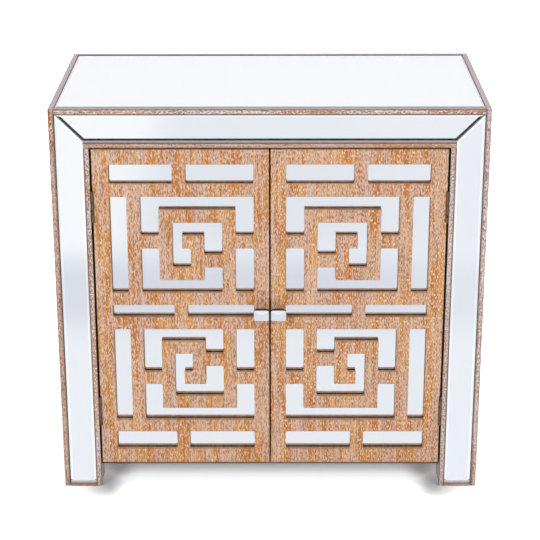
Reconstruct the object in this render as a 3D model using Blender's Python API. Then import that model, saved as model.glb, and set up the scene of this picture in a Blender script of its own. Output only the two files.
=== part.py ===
"""A low two-door sideboard: limed wood, a glass top, and Greek-key fretwork over mirror on both doors.

Run it with Blender 4.5: blender --background --python part.py. Lengths are in metres and +Z is up.
The origin lies on the floor under the middle of the whole cabinet, knobs included, and the doors face -Y.
"""

import math

import bmesh
import bpy
from mathutils import Vector
from mathutils.geometry import delaunay_2d_cdt

# Whole cabinet, without the knobs
WIDTH = 0.800
HEIGHT = 0.758
DEPTH = 0.438

# Clearance between pieces that touch, and how far a cutter runs past what it cuts
FIT = 0.0003
OVERRUN = 0.002

# Boards of the body
SIDE_THICKNESS = 0.015
TOP_BOARD_THICKNESS = 0.018
BOTTOM_THICKNESS = 0.018
BACK_THICKNESS = 0.005
FRAME_THICKNESS = 0.018

# Feet, and the apron between the front ones
FOOT_HEIGHT = 0.054
FOOT_DEPTH = 0.060
APRON_HEIGHT = 0.016

# Beads on the front and round the top, with their softened edges
OUTER_BEAD_WIDTH = 0.0105
INNER_BEAD_WIDTH = 0.0105
FRONT_BEAD_DEPTH = 0.010
TOP_BEAD_HEIGHT = 0.012
TOP_FRONT_BEAD_DEPTH = 0.015
TOP_BACK_BEAD_DEPTH = 0.012
FOOT_BEAD_HEIGHT = 0.0065
BEAD_ROUNDING = 0.0011

# Bevelled glass on the front and the top
STRIP_WIDTH = 0.0505
GLASS_THICKNESS = 0.004
GLASS_BEVEL_WIDTH = 0.0047
GLASS_BEVEL_DEPTH = 0.0007
TOP_GLASS_DROP = 0.0008

# Doors
MEETING_GAP = 0.003
HEAD_GAP = 0.003
DOOR_RECESS = 0.001
DOOR_DROP = 0.0023
DOOR_GLASS_THICKNESS = 0.004
DOOR_BOARD_THICKNESS = 0.0108
POCKET_LAP = 0.006
DOOR_BACK_CLEARANCE = 0.0016

# Fretwork
FRET_THICKNESS = 0.0095
FRET_EASE = 0.0006
FRET_CORNER = 0.003
HINGE_STILE = 0.030
MEETING_STILE = 0.0285
END_RAIL = 0.0286
END_BAR_HEIGHT = 0.037
END_BAR_LENGTH = 0.1156
MIDDLE_BAR_HEIGHT = 0.0246
SLOT_WIDTH = 0.0313
BAR = 0.0247
BAND = 0.0246
KEY_COLUMNS = 4
KEY_ROW_SHARES = (0, 1, 2, 3, 4, 4.5, 5.5, 6.5, 7.5)
LEG_SHARE = 0.53

# Knobs and the screws that hold them
KNOB_BASE_WIDTH = 0.0195
KNOB_BASE_HEIGHT = 0.0125
KNOB_FACE_WIDTH = 0.0288
KNOB_FACE_HEIGHT = 0.0229
KNOB_LENGTH = 0.025
KNOB_DOME = 0.0012
KNOB_EDGE = 0.0022
KNOB_CORNER = 0.0042
KNOB_MIDDLE_GAP = 0.0031
FLARE_CURVE_SHARE = 1.3
SCREW_RADIUS = 0.002
SCREW_HEAD_RADIUS = 0.004
SCREW_HEAD_HEIGHT = 0.0024
SCREW_GRIP = 0.0085

# Hinges
HINGE_LENGTH = 0.060
HINGE_INSET = 0.1095
KNUCKLE_COUNT = 5
PIN_RADIUS = 0.00115
LEAF_THICKNESS = 0.0012
LEAF_DEPTH = 0.0185
LEAF_GAP = 0.0007
AXIS_SETBACK = 0.0005
BARREL_RELIEF = 0.0005

# Shelf and its pins
SHELF_THICKNESS = 0.015
SHELF_HEIGHT = 0.372
SHELF_SETBACK = 0.046
SHELF_SIDE_PLAY = 0.0005
PIN_HOLE_RADIUS = 0.0028
PIN_HOLE_DEPTH = 0.0095
PIN_HOLE_PITCH = 0.032
PIN_HOLE_ROWS = 3
PIN_FRONT_INSET = 0.040
SHELF_PIN_RADIUS = 0.0025
SHELF_PIN_COLLAR_RADIUS = 0.004
SHELF_PIN_COLLAR = 0.0015
SHELF_PIN_REACH = 0.0095

# Magnetic catches and their strike plates
CATCH_WIDTH = 0.022
CATCH_HEIGHT = 0.015
CATCH_DEPTH = 0.018
CATCH_FLANGE_THICKNESS = 0.002
CATCH_FLANGE_HEIGHT = 0.018
CATCH_FROM_MIDDLE = 0.030
STRIKE_THICKNESS = 0.001
STRIKE_HEIGHT = 0.013
STRIKE_WIDTH = 0.024

# How surfaces are made: corners closer than this are one corner, and softer folds than this look round
MERGE = 1e-7
TRIANGLES_INSIDE = 1
SMOOTH_FOLD = math.radians(35)

# Counts of facets
CORNER_STEPS = 3
BARREL_STEPS = 20
ROUND_STEPS = 16
KNOB_CORNER_STEPS = 5
KNOB_FLARE_STEPS = 5

# Places that several pieces share
FRONT = (KNOB_LENGTH + FIT - DOOR_RECESS - DEPTH) / 2
BACK = FRONT + DEPTH
FRAME_FACE = FRONT + FRONT_BEAD_DEPTH + FIT
FRAME_REAR = FRAME_FACE + FRAME_THICKNESS
HALF = WIDTH / 2
OPENING_HALF = HALF - OUTER_BEAD_WIDTH - STRIP_WIDTH - INNER_BEAD_WIDTH
OPENING_TOP = HEIGHT - TOP_BEAD_HEIGHT - STRIP_WIDTH - INNER_BEAD_WIDTH
RABBET_LEVEL = HEIGHT - TOP_BEAD_HEIGHT - FIT
TOP_BOARD_FACE = HEIGHT - TOP_GLASS_DROP - GLASS_THICKNESS - FIT
TOP_UNDERSIDE = TOP_BOARD_FACE - TOP_BOARD_THICKNESS
SIDE_INNER = HALF - SIDE_THICKNESS - FIT
BOTTOM_TOP = FOOT_HEIGHT + BOTTOM_THICKNESS
DOOR_TOP = OPENING_TOP - HEAD_GAP
DOOR_BOTTOM = FOOT_HEIGHT - DOOR_DROP
HINGE_GAP = FIT + LEAF_THICKNESS + LEAF_GAP + LEAF_THICKNESS + FIT
DOOR_EDGE = OPENING_HALF - HINGE_GAP
DOOR_WIDTH = DOOR_EDGE - MEETING_GAP / 2
DOOR_FACE = FRONT + DOOR_RECESS
FRET_REAR = DOOR_FACE + FRET_THICKNESS
BOARD_FACE = FRET_REAR + FIT
DOOR_REAR = BOARD_FACE + DOOR_BOARD_THICKNESS
BORE_RADIUS = PIN_RADIUS + FIT
BARREL_RADIUS = BORE_RADIUS + LEAF_THICKNESS
AXIS_X = OPENING_HALF - FIT - BARREL_RADIUS
AXIS_Y = FRONT + AXIS_SETBACK
KNOB_X = (KNOB_MIDDLE_GAP + KNOB_FACE_WIDTH) / 2
KNOB_Z = (DOOR_TOP + DOOR_BOTTOM) / 2

LEFT = -1
RIGHT = 1
SIDES = (("left", LEFT), ("right", RIGHT))

# Finishes: red, green and blue as a screen shows them, then roughness and metallic value
LIMED_WOOD = ((0.80, 0.60, 0.43), 0.62, 0.0)
LIMED_EDGE = ((0.82, 0.72, 0.66), 0.60, 0.0)
INSIDE_WOOD = ((0.55, 0.40, 0.28), 0.70, 0.0)
HARDBOARD = ((0.42, 0.31, 0.22), 0.80, 0.0)
SILVERED_GLASS = ((0.92, 0.94, 0.96), 0.03, 1.0)
CHROME = ((0.86, 0.87, 0.89), 0.06, 1.0)
AGED_BRASS = ((0.46, 0.42, 0.35), 0.38, 1.0)
ZINC = ((0.66, 0.66, 0.67), 0.35, 1.0)
CATCH_PLASTIC = ((0.30, 0.22, 0.16), 0.45, 0.0)


def clear_scene():
    for thing in list(bpy.data.objects):
        bpy.data.objects.remove(thing, do_unlink=True)


def linear(value):
    """A screen colour's channel as the light that it stands for."""
    return value / 12.92 if value <= 0.04045 else ((value + 0.055) / 1.055) ** 2.4


def finish_of(name, finish):
    colour, roughness, metallic = finish
    material = bpy.data.materials.new(name + "_finish")
    material.use_nodes = True
    shader = material.node_tree.nodes["Principled BSDF"]
    shader.inputs["Base Color"].default_value = [linear(c) for c in colour] + [1]
    shader.inputs["Roughness"].default_value = roughness
    shader.inputs["Metallic"].default_value = metallic
    material.diffuse_color = [linear(c) for c in colour] + [1]
    return material


def piece(name, shape, finish, parent=None, smooth=False):
    """An object made of a bmesh, in its own finish; its origin is its parent's."""
    bmesh.ops.recalc_face_normals(shape, faces=shape.faces)
    mesh = bpy.data.meshes.new(name)
    if parent:
        bmesh.ops.translate(shape, verts=shape.verts, vec=-parent.location)
    shape.to_mesh(mesh)
    shape.free()
    if smooth:
        mesh.shade_smooth()
        mesh.set_sharp_from_angle(angle=SMOOTH_FOLD)
    made = bpy.data.objects.new(name, mesh)
    bpy.context.scene.collection.objects.link(made)
    made.data.materials.append(finish_of(name, finish))
    made.parent = parent
    return made


def placed(axis, a, b, along):
    """A point whose place along one axis is given apart from the other two."""
    if axis == "x":
        return Vector((along, a, b))
    if axis == "y":
        return Vector((a, along, b))
    return Vector((a, b, along))


def turns_left(outline):
    area = 0
    for (ax, ay), (bx, by) in zip(outline, outline[1:] + outline[:1]):
        area += ax * by - bx * ay
    return area > 0


def offset(outline, distance):
    """The outline moved inwards by a distance, corner by corner."""
    if not turns_left(outline):
        distance = -distance
    moved = []
    for before, here, after in zip(outline[-1:] + outline[:-1], outline, outline[1:] + outline[:1]):
        first = Vector((before[1] - here[1], here[0] - before[0])).normalized()
        second = Vector((here[1] - after[1], after[0] - here[0])).normalized()
        shift = (first + second) * (distance / (1 + first.dot(second)))
        moved.append((here[0] + shift.x, here[1] + shift.y))
    return moved


def softened(outline, radius, steps=CORNER_STEPS):
    """The outline with its outward corners rounded; inward corners stay sharp."""
    left = turns_left(outline)
    points = []
    for before, here, after in zip(outline[-1:] + outline[:-1], outline, outline[1:] + outline[:1]):
        corner = Vector(here)
        towards = (Vector(before) - corner).normalized()
        away = (Vector(after) - corner).normalized()
        cross = away.x * towards.y - away.y * towards.x
        if (cross > 0) != left:
            points.append(here)
            continue
        centre = corner + (towards + away) * radius
        for step in range(steps + 1):
            turn = math.pi / 2 * step / steps
            point = centre - away * radius * math.cos(turn) - towards * radius * math.sin(turn)
            points.append((point.x, point.y))
    return points


def circle(a, b, radius, steps=ROUND_STEPS):
    angles = [2 * math.pi * step / steps for step in range(steps)]
    return [(a + radius * math.cos(angle), b + radius * math.sin(angle)) for angle in angles]


def rectangle(a0, a1, b0, b1):
    return [(a0, b0), (a1, b0), (a1, b1), (a0, b1)]


def add_ring(shape, axis, outline, along):
    return [shape.verts.new(placed(axis, a, b, along)) for a, b in outline]


def add_walls(shape, first, second):
    for i in range(len(first)):
        j = (i + 1) % len(first)
        shape.faces.new((first[i], first[j], second[j], second[i]))


def add_cap(shape, rings, outlines):
    """A flat face inside the first outline, open at the others; the rings hold the outlines' corners."""
    corners = [vert for ring in rings for vert in ring]
    points = [Vector(point) for outline in outlines for point in outline]
    loops = []
    start = 0
    for outline in outlines:
        loop = list(range(start, start + len(outline)))
        loops.append(loop if turns_left(outline) else loop[::-1])
        start += len(outline)
    _, _, triangles, origins, _, owners = delaunay_2d_cdt(points, [], loops, TRIANGLES_INSIDE, MERGE)
    for triangle, owner in zip(triangles, owners):
        if owner == [0]:
            shape.faces.new([corners[origins[i][0]] for i in triangle])


def sheet(axis, layers, holes=()):
    """A solid from one outline at several places along an axis; each hole is a list of layers too."""
    shape = bmesh.new()
    ends = [([], []), ([], [])]
    for stack in [layers] + list(holes):
        rings = [add_ring(shape, axis, outline, along) for outline, along in stack]
        for first, second in zip(rings, rings[1:]):
            add_walls(shape, first, second)
        for end, number in zip(ends, (0, -1)):
            end[0].append(rings[number])
            end[1].append(stack[number][0])
    for rings, outlines in ends:
        add_cap(shape, rings, outlines)
    return shape


def prism(axis, outline, start, end, holes=()):
    return sheet(axis, [(outline, start), (outline, end)], [[(hole, start), (hole, end)] for hole in holes])


def block(x, y, z):
    """A box between two places along each axis."""
    return prism("y", rectangle(*sorted(x), *z), *y)


def turned(axis, a, b, profile, steps=ROUND_STEPS):
    """A solid of revolution: the profile is (radius, place along the axis) from one end to the other."""
    shape = bmesh.new()
    rings = [add_ring(shape, axis, circle(a, b, radius, steps), along) for radius, along in profile]
    for first, second in zip(rings, rings[1:]):
        add_walls(shape, first, second)
    shape.faces.new(rings[0])
    shape.faces.new(rings[-1])
    return shape


def joined(shapes):
    """Several closed shapes in one bmesh, such as the parts of a cutter."""
    whole = bmesh.new()
    for shape in shapes:
        bmesh.ops.recalc_face_normals(shape, faces=shape.faces)
        mesh = bpy.data.meshes.new("parts_of_a_cutter")
        shape.to_mesh(mesh)
        shape.free()
        whole.from_mesh(mesh)
        bpy.data.meshes.remove(mesh)
    return whole


def cut(target, name, shapes):
    """Cuts closed shapes out of a piece with a Boolean that stays on it."""
    mesh = bpy.data.meshes.new(name)
    whole = joined(shapes)
    if target.parent:
        bmesh.ops.translate(whole, verts=whole.verts, vec=-target.parent.location)
    whole.to_mesh(mesh)
    whole.free()
    cutter = bpy.data.objects.new(name, mesh)
    bpy.context.scene.collection.objects.link(cutter)
    cutter.parent = target.parent
    cutter.hide_render = True
    cutter.display_type = "WIRE"
    boolean = target.modifiers.new("cut_" + name, "BOOLEAN")
    boolean.operation = "DIFFERENCE"
    boolean.solver = "EXACT"
    boolean.object = cutter


def ease_edges(target, width, segments=1):
    bevel = target.modifiers.new("eased_edges", "BEVEL")
    bevel.width = width
    bevel.segments = segments
    bevel.limit_method = "ANGLE"


def mirrored(side, outline):
    """An outline drawn for the right side, moved to the side asked for."""
    return [(side * a, b) for a, b in outline]


def make_body():
    """The boards that carry everything: sides, bottom, top and back."""
    for name, side in SIDES:
        board = piece(
            name + "_side",
            block(
                (side * (HALF - SIDE_THICKNESS), side * HALF),
                (FRAME_REAR + FIT, BACK),
                (FOOT_HEIGHT, TOP_UNDERSIDE - FIT),
            ),
            LIMED_WOOD,
        )
        cut(board, name + "_side_pin_holes", shelf_pin_holes(side))
    tongue = FRAME_REAR + FIT
    outline = [
        (-OPENING_HALF + FIT, DOOR_REAR + DOOR_BACK_CLEARANCE),
        (OPENING_HALF - FIT, DOOR_REAR + DOOR_BACK_CLEARANCE),
        (OPENING_HALF - FIT, tongue),
        (SIDE_INNER, tongue),
        (SIDE_INNER, BACK - BACK_THICKNESS - FIT),
        (-SIDE_INNER, BACK - BACK_THICKNESS - FIT),
        (-SIDE_INNER, tongue),
        (-OPENING_HALF + FIT, tongue),
    ]
    piece("bottom_board", prism("z", outline, FOOT_HEIGHT, BOTTOM_TOP), INSIDE_WOOD)
    piece(
        "back_board",
        block((-SIDE_INNER, SIDE_INNER), (BACK - BACK_THICKNESS, BACK), (FOOT_HEIGHT, TOP_UNDERSIDE - FIT)),
        HARDBOARD,
    )
    piece("top_board", top_board_shape(), LIMED_WOOD)


def top_board_shape():
    """A board with a rabbet all round, in which the top's beads sit."""
    lower = rectangle(-HALF, HALF, FRAME_FACE, BACK)
    upper = rectangle(
        -HALF + OUTER_BEAD_WIDTH + FIT,
        HALF - OUTER_BEAD_WIDTH - FIT,
        FRONT + TOP_FRONT_BEAD_DEPTH + FIT,
        BACK - TOP_BACK_BEAD_DEPTH - FIT,
    )
    layers = [
        (lower, TOP_UNDERSIDE),
        (lower, RABBET_LEVEL),
        (upper, RABBET_LEVEL),
        (upper, TOP_BOARD_FACE),
    ]
    return sheet("z", layers)


def make_front_frame():
    """Two stiles that reach the floor and a rail between them, behind the glass strips."""
    for name, side in SIDES:
        piece(
            name + "_stile",
            block(
                (side * OPENING_HALF, side * HALF),
                (FRAME_FACE, FRAME_REAR),
                (0, TOP_UNDERSIDE - FIT),
            ),
            LIMED_WOOD,
        )
    piece(
        "top_rail",
        block(
            (-OPENING_HALF + FIT, OPENING_HALF - FIT),
            (FRAME_FACE, FRAME_REAR),
            (OPENING_TOP, TOP_UNDERSIDE - FIT),
        ),
        LIMED_WOOD,
    )


def make_feet():
    """Four feet, and an apron glued under the bottom board, between the front two and behind the doors."""
    for name, side in SIDES:
        across = (side * OPENING_HALF, side * HALF)
        upright = (0, FOOT_HEIGHT - FIT)
        piece(
            name + "_front_foot",
            block(across, (FRAME_REAR + FIT, FRONT + FOOT_DEPTH), upright),
            LIMED_WOOD,
        )
        rear = piece(name + "_rear_foot", block(across, (BACK - FOOT_DEPTH, BACK), upright), LIMED_WOOD)
        ease_edges(rear, BEAD_ROUNDING)
    front = DOOR_REAR + DOOR_BACK_CLEARANCE
    apron = block(
        (-OPENING_HALF + FIT, OPENING_HALF - FIT),
        (front, front + FRAME_THICKNESS),
        (FOOT_HEIGHT - FIT - APRON_HEIGHT, FOOT_HEIGHT - FIT),
    )
    piece("front_apron", apron, INSIDE_WOOD)


def make_beads():
    """The wooden edge of the front and of the top, glued on piece by piece."""
    strip_outer = HALF - OUTER_BEAD_WIDTH - FIT
    bead_outer = OPENING_HALF + INNER_BEAD_WIDTH
    head_top = OPENING_TOP + INNER_BEAD_WIDTH
    front = (FRONT, FRONT + FRONT_BEAD_DEPTH)
    crown = (HEIGHT - TOP_BEAD_HEIGHT, HEIGHT)
    beads = {
        "top_front_bead": ((-strip_outer, strip_outer), (FRONT, FRONT + TOP_FRONT_BEAD_DEPTH), crown),
        "top_back_bead": ((-strip_outer, strip_outer), (BACK - TOP_BACK_BEAD_DEPTH, BACK), crown),
        "head_bead": ((-bead_outer, bead_outer), front, (OPENING_TOP, head_top)),
    }
    for name, side in SIDES:
        outer = (side * (HALF - OUTER_BEAD_WIDTH), side * HALF)
        beads["top_" + name + "_bead"] = (outer, (FRAME_FACE, BACK), crown)
        beads[name + "_outer_bead"] = (outer, front, (0, HEIGHT))
        inner = (side * OPENING_HALF, side * bead_outer)
        beads[name + "_inner_bead"] = (inner, front, (0, OPENING_TOP - FIT))
        beads[name + "_foot_bead"] = (
            (side * (bead_outer + FIT), side * strip_outer),
            front,
            (0, FOOT_BEAD_HEIGHT),
        )
    for name, places in beads.items():
        bead = piece(name, block(*places), LIMED_EDGE)
        ease_edges(bead, BEAD_ROUNDING, segments=2)


def glass(name, axis, outline, face, rear):
    """A sheet of silvered glass whose face is ground away along all its edges."""
    inwards = 1 if rear > face else -1
    layers = [
        (offset(outline, GLASS_BEVEL_WIDTH), face),
        (outline, face + inwards * GLASS_BEVEL_DEPTH),
        (outline, rear),
    ]
    return piece(name, sheet(axis, layers), SILVERED_GLASS)


def make_glass():
    """Three strips round the doors, mitred at the upper corners, and the glass top."""
    rear = FRAME_FACE - FIT
    face = rear - GLASS_THICKNESS
    outer = HALF - OUTER_BEAD_WIDTH - FIT
    inner = OPENING_HALF + INNER_BEAD_WIDTH + FIT
    crown = HEIGHT - TOP_BEAD_HEIGHT - FIT
    head = OPENING_TOP + INNER_BEAD_WIDTH + FIT
    for name, side in SIDES:
        outline = [
            (outer, FOOT_BEAD_HEIGHT + FIT),
            (outer, crown - FIT),
            (inner, head - FIT),
            (inner, FOOT_BEAD_HEIGHT + FIT),
        ]
        glass(name + "_strip_glass", "y", mirrored(side, outline), face, rear)
    outline = [(-outer + FIT, crown), (outer - FIT, crown), (inner - FIT, head), (-inner + FIT, head)]
    glass("top_strip_glass", "y", outline, face, rear)
    plan = rectangle(
        -outer,
        outer,
        FRONT + TOP_FRONT_BEAD_DEPTH + FIT,
        BACK - TOP_BACK_BEAD_DEPTH - FIT,
    )
    surface = HEIGHT - TOP_GLASS_DROP
    glass("top_glass", "z", plan, surface, surface - GLASS_THICKNESS)


def key_openings(columns, start, path):
    """The four openings of one Greek key, from its crown at start; a negative path draws it upside down."""
    a0, a1, b0, leg, b1, c0, c1, d0, d1 = columns
    rows = [start - share * path for share in KEY_ROW_SHARES]
    crown, band, inner, inner_band, gap_end, tail, step, base_band, base = rows
    arch = [
        (a0, crown),
        (d1, crown),
        (d1, inner_band),
        (d0, inner_band),
        (d0, band),
        (a1, band),
        (a1, inner_band),
        (a0, inner_band),
    ]
    hook = [
        (a0, gap_end),
        (a1, gap_end),
        (a1, base_band),
        (c0, base_band),
        (c0, step),
        (c1, step),
        (c1, base),
        (a0, base),
    ]
    spiral = [
        (b0, inner),
        (c1, inner),
        (c1, tail),
        (c0, tail),
        (c0, inner_band),
        (leg, inner_band),
        (leg, gap_end),
        (b1, gap_end),
        (b1, step),
        (b0, step),
    ]
    return [arch, hook, spiral, rectangle(d0, d1, base, gap_end)]


def fret_openings():
    """All openings of one fretwork panel, as outlines in the distance from its hinge edge and the height."""
    slot_end = HINGE_STILE + SLOT_WIDTH
    right = DOOR_WIDTH - MEETING_STILE
    column = (right - slot_end) / KEY_COLUMNS - BAR
    starts = [slot_end + BAR + i * (column + BAR) for i in range(KEY_COLUMNS)]
    columns = []
    for i, begin in enumerate(starts):
        columns.append(begin)
        if i == 1:
            columns.append(begin + column * LEG_SHARE)
        columns.append(begin + column)
    key_top = DOOR_TOP - END_RAIL - END_BAR_HEIGHT - BAND
    key_foot = DOOR_BOTTOM + END_RAIL + END_BAR_HEIGHT + BAND
    middle = (DOOR_TOP + DOOR_BOTTOM) / 2
    upper_end = middle + MIDDLE_BAR_HEIGHT / 2 + BAND
    lower_end = middle - MIDDLE_BAR_HEIGHT / 2 - BAND
    path = (key_top - upper_end) / KEY_ROW_SHARES[-1]
    openings = key_openings(columns, key_top, path) + key_openings(columns, key_foot, -path)
    openings.append(rectangle(HINGE_STILE, slot_end, upper_end, key_top))
    openings.append(rectangle(HINGE_STILE, slot_end, key_foot, lower_end))
    levels = (
        (DOOR_TOP - END_RAIL - END_BAR_HEIGHT, DOOR_TOP - END_RAIL),
        (middle - MIDDLE_BAR_HEIGHT / 2, middle + MIDDLE_BAR_HEIGHT / 2),
        (DOOR_BOTTOM + END_RAIL, DOOR_BOTTOM + END_RAIL + END_BAR_HEIGHT),
    )
    for low, high in levels:
        bar_end = HINGE_STILE + END_BAR_LENGTH
        openings.append(rectangle(HINGE_STILE, bar_end, low, high))
        openings.append(rectangle(bar_end + BAR, right, low, high))
    return openings


def knob_x(side):
    return side * KNOB_X


def make_fretwork(name, side, parent):
    """One panel sawn through in a Greek-key pattern, its openings routed, their front edges eased."""

    def across(outline):
        return [(side * (DOOR_EDGE - a), b) for a, b in outline]

    eased = DOOR_FACE + FRET_EASE
    outer = across(rectangle(0, DOOR_WIDTH, DOOR_BOTTOM, DOOR_TOP))
    layers = [(offset(outer, FRET_EASE), DOOR_FACE), (outer, eased), (outer, FRET_REAR)]
    holes = []
    for opening in fret_openings():
        edge = across(softened(opening, FRET_CORNER))
        holes.append([(offset(edge, -FRET_EASE), DOOR_FACE), (edge, eased), (edge, FRET_REAR)])
    bore = circle(knob_x(side), KNOB_Z, SCREW_RADIUS + FIT)
    holes.append([(bore, DOOR_FACE), (bore, FRET_REAR)])
    panel = piece(name + "_fretwork", sheet("y", layers, holes), LIMED_WOOD, parent)
    cut(panel, name + "_fretwork_notches", barrel_notches(side))


def glass_pocket(side, shrink):
    """The outline of the door glass's pocket: the glass reaches a lap past every opening."""
    outline = rectangle(
        side * (DOOR_EDGE - HINGE_STILE + POCKET_LAP),
        side * (DOOR_EDGE - DOOR_WIDTH + MEETING_STILE - POCKET_LAP),
        DOOR_BOTTOM + END_RAIL - POCKET_LAP,
        DOOR_TOP - END_RAIL + POCKET_LAP,
    )
    return offset(outline, shrink)


def make_door_panels(name, side, parent):
    """The board behind the fretwork, with the sheet of mirror let into its face."""
    board = piece(
        name + "_door_board",
        block(
            (side * (DOOR_EDGE - DOOR_WIDTH), side * DOOR_EDGE),
            (BOARD_FACE, DOOR_REAR),
            (DOOR_BOTTOM, DOOR_TOP),
        ),
        INSIDE_WOOD,
        parent,
    )
    floor = BOARD_FACE + DOOR_GLASS_THICKNESS + FIT
    shapes = [
        prism("y", glass_pocket(side, 0), BOARD_FACE - OVERRUN, floor),
        prism(
            "y",
            circle(knob_x(side), KNOB_Z, SCREW_RADIUS + FIT),
            BOARD_FACE - OVERRUN,
            DOOR_REAR + OVERRUN,
        ),
    ]
    cut(board, name + "_door_board_cuts", shapes)
    pane = prism("y", glass_pocket(side, FIT), BOARD_FACE, BOARD_FACE + DOOR_GLASS_THICKNESS)
    piece(name + "_door_glass", pane, SILVERED_GLASS, parent)


def make_knob(name, side, parent):
    """A cast knob: a small rounded base that flares to a larger, slightly domed face."""
    rear = DOOR_FACE - FIT
    rim = rear - KNOB_LENGTH + KNOB_DOME + KNOB_EDGE
    stations = []
    for step in range(KNOB_FLARE_STEPS + 1):
        share = step / KNOB_FLARE_STEPS
        spread = math.sin(share * math.pi / 2) ** FLARE_CURVE_SHARE
        width = KNOB_BASE_WIDTH + (KNOB_FACE_WIDTH - KNOB_BASE_WIDTH) * spread
        height = KNOB_BASE_HEIGHT + (KNOB_FACE_HEIGHT - KNOB_BASE_HEIGHT) * spread
        stations.append((width, height, rear + (rim - rear) * share))
    for step in range(1, CORNER_STEPS + 1):
        turn = math.pi / 2 * step / CORNER_STEPS
        shrink = 2 * KNOB_EDGE * (1 - math.cos(turn))
        along = rim - KNOB_EDGE * math.sin(turn)
        stations.append((KNOB_FACE_WIDTH - shrink, KNOB_FACE_HEIGHT - shrink, along))
    dome_width, dome_height, dome_start = stations[-1]
    for step in range(1, CORNER_STEPS):
        shrink = 1 - step / CORNER_STEPS
        rise = (1 - shrink**2) / (1 - 1 / CORNER_STEPS**2)
        stations.append((dome_width * shrink, dome_height * shrink, dome_start - KNOB_DOME * rise))
    layers = []
    for width, height, along in stations:
        share = min(1, height / KNOB_BASE_HEIGHT)
        outline = softened(
            rectangle(-width / 2, width / 2, -height / 2, height / 2),
            KNOB_CORNER * share,
            KNOB_CORNER_STEPS,
        )
        layers.append(([(a + knob_x(side), b + KNOB_Z) for a, b in outline], along))
    shape = sheet("y", layers)
    knob = piece(name + "_knob", shape, CHROME, parent, smooth=True)
    bore = prism(
        "y",
        circle(knob_x(side), KNOB_Z, SCREW_RADIUS + FIT),
        rear - SCREW_GRIP - FIT,
        rear + OVERRUN,
    )
    cut(knob, name + "_knob_bore", [bore])


def make_knob_screw(name, side, parent):
    """A machine screw from behind the door into the knob."""
    seat = DOOR_REAR + FIT
    tip = DOOR_FACE - FIT - SCREW_GRIP
    profile = [
        (SCREW_RADIUS, tip),
        (SCREW_RADIUS, seat),
        (SCREW_HEAD_RADIUS, seat),
        (SCREW_HEAD_RADIUS, seat + SCREW_HEAD_HEIGHT / 2),
        (SCREW_HEAD_RADIUS / 2, seat + SCREW_HEAD_HEIGHT),
    ]
    piece(name + "_knob_screw", turned("y", knob_x(side), KNOB_Z, profile), ZINC, parent, smooth=True)


def hinge_heights():
    """The middle of the upper and of the lower hinge."""
    return (("upper", DOOR_TOP - HINGE_INSET), ("lower", DOOR_BOTTOM + HINGE_INSET))


def barrel_notches(side):
    """Coves along the door's edge, round each hinge barrel."""
    radius = BARREL_RADIUS + BARREL_RELIEF
    half = HINGE_LENGTH / 2 + BARREL_RELIEF
    centre = (side * AXIS_X, AXIS_Y)
    return [prism("z", circle(*centre, radius, BARREL_STEPS), z - half, z + half) for _, z in hinge_heights()]


def leaf_outline(near, far):
    """A leaf rolled into a barrel round nought: the leaf lies between near and far from the axis."""
    reach = LEAF_DEPTH - AXIS_SETBACK
    first = math.acos(far / BARREL_RADIUS)
    last = math.acos(near / BARREL_RADIUS) - 2 * math.pi
    outline = [(far, reach)]
    for step in range(BARREL_STEPS + 1):
        angle = first + (last - first) * step / BARREL_STEPS
        outline.append((BARREL_RADIUS * math.cos(angle), BARREL_RADIUS * math.sin(angle)))
    outline.append((near, reach))
    return outline


def leaf(name, side, middle, near, far, kept, finish, parent=None):
    """One hinge leaf with the knuckles whose numbers are kept; the others are cut out of its barrel."""

    def across(outline):
        return [(side * (AXIS_X - a), AXIS_Y + b) for a, b in outline]

    low = middle - HINGE_LENGTH / 2
    bore = across(circle(0, 0, BORE_RADIUS, ROUND_STEPS))
    shape = prism("z", across(leaf_outline(near, far)), low, low + HINGE_LENGTH, [bore])
    made = piece(name, shape, finish, parent, smooth=True)
    knuckle = HINGE_LENGTH / KNUCKLE_COUNT
    reach = BARREL_RADIUS + BARREL_RELIEF
    window = across(rectangle(-reach, reach, -reach, reach))
    gaps = []
    for i in range(KNUCKLE_COUNT):
        if i in kept:
            continue
        start = low + i * knuckle - FIT / 2
        end = start + knuckle + FIT
        start -= OVERRUN if i == 0 else 0
        end += OVERRUN if i == KNUCKLE_COUNT - 1 else 0
        gaps.append(prism("z", window, start, end))
    cut(made, name + "_gaps", gaps)


def make_hinges(name, side, door):
    """Two butt hinges: the frame leaf on the stile, the door leaf on the door's edge, a pin through both."""
    door_near = AXIS_X - DOOR_EDGE - FIT - LEAF_THICKNESS
    frame_knuckles = range(0, KNUCKLE_COUNT, 2)
    door_knuckles = range(1, KNUCKLE_COUNT, 2)
    for level, middle in hinge_heights():
        title = name + "_" + level + "_hinge"
        leaf(
            title + "_frame_leaf",
            side,
            middle,
            -BARREL_RADIUS,
            -BORE_RADIUS,
            frame_knuckles,
            AGED_BRASS,
        )
        leaf(
            title + "_door_leaf",
            side,
            middle,
            door_near,
            door_near + LEAF_THICKNESS,
            door_knuckles,
            AGED_BRASS,
            door,
        )
        half = HINGE_LENGTH / 2 - FIT
        profile = [(PIN_RADIUS, middle - half), (PIN_RADIUS, middle + half)]
        pin = turned("z", side * AXIS_X, AXIS_Y, profile, ROUND_STEPS)
        piece(title + "_pin", pin, AGED_BRASS, smooth=True)


def shelf_pin_places(side):
    """Where the pins in use stand, front and rear, as places along Y with their names."""
    front = FRONT + SHELF_SETBACK + PIN_FRONT_INSET
    rear = BACK - BACK_THICKNESS - PIN_FRONT_INSET
    return (("front", front), ("rear", rear))


def shelf_pin_height():
    return SHELF_HEIGHT - FIT - SHELF_PIN_RADIUS


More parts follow.
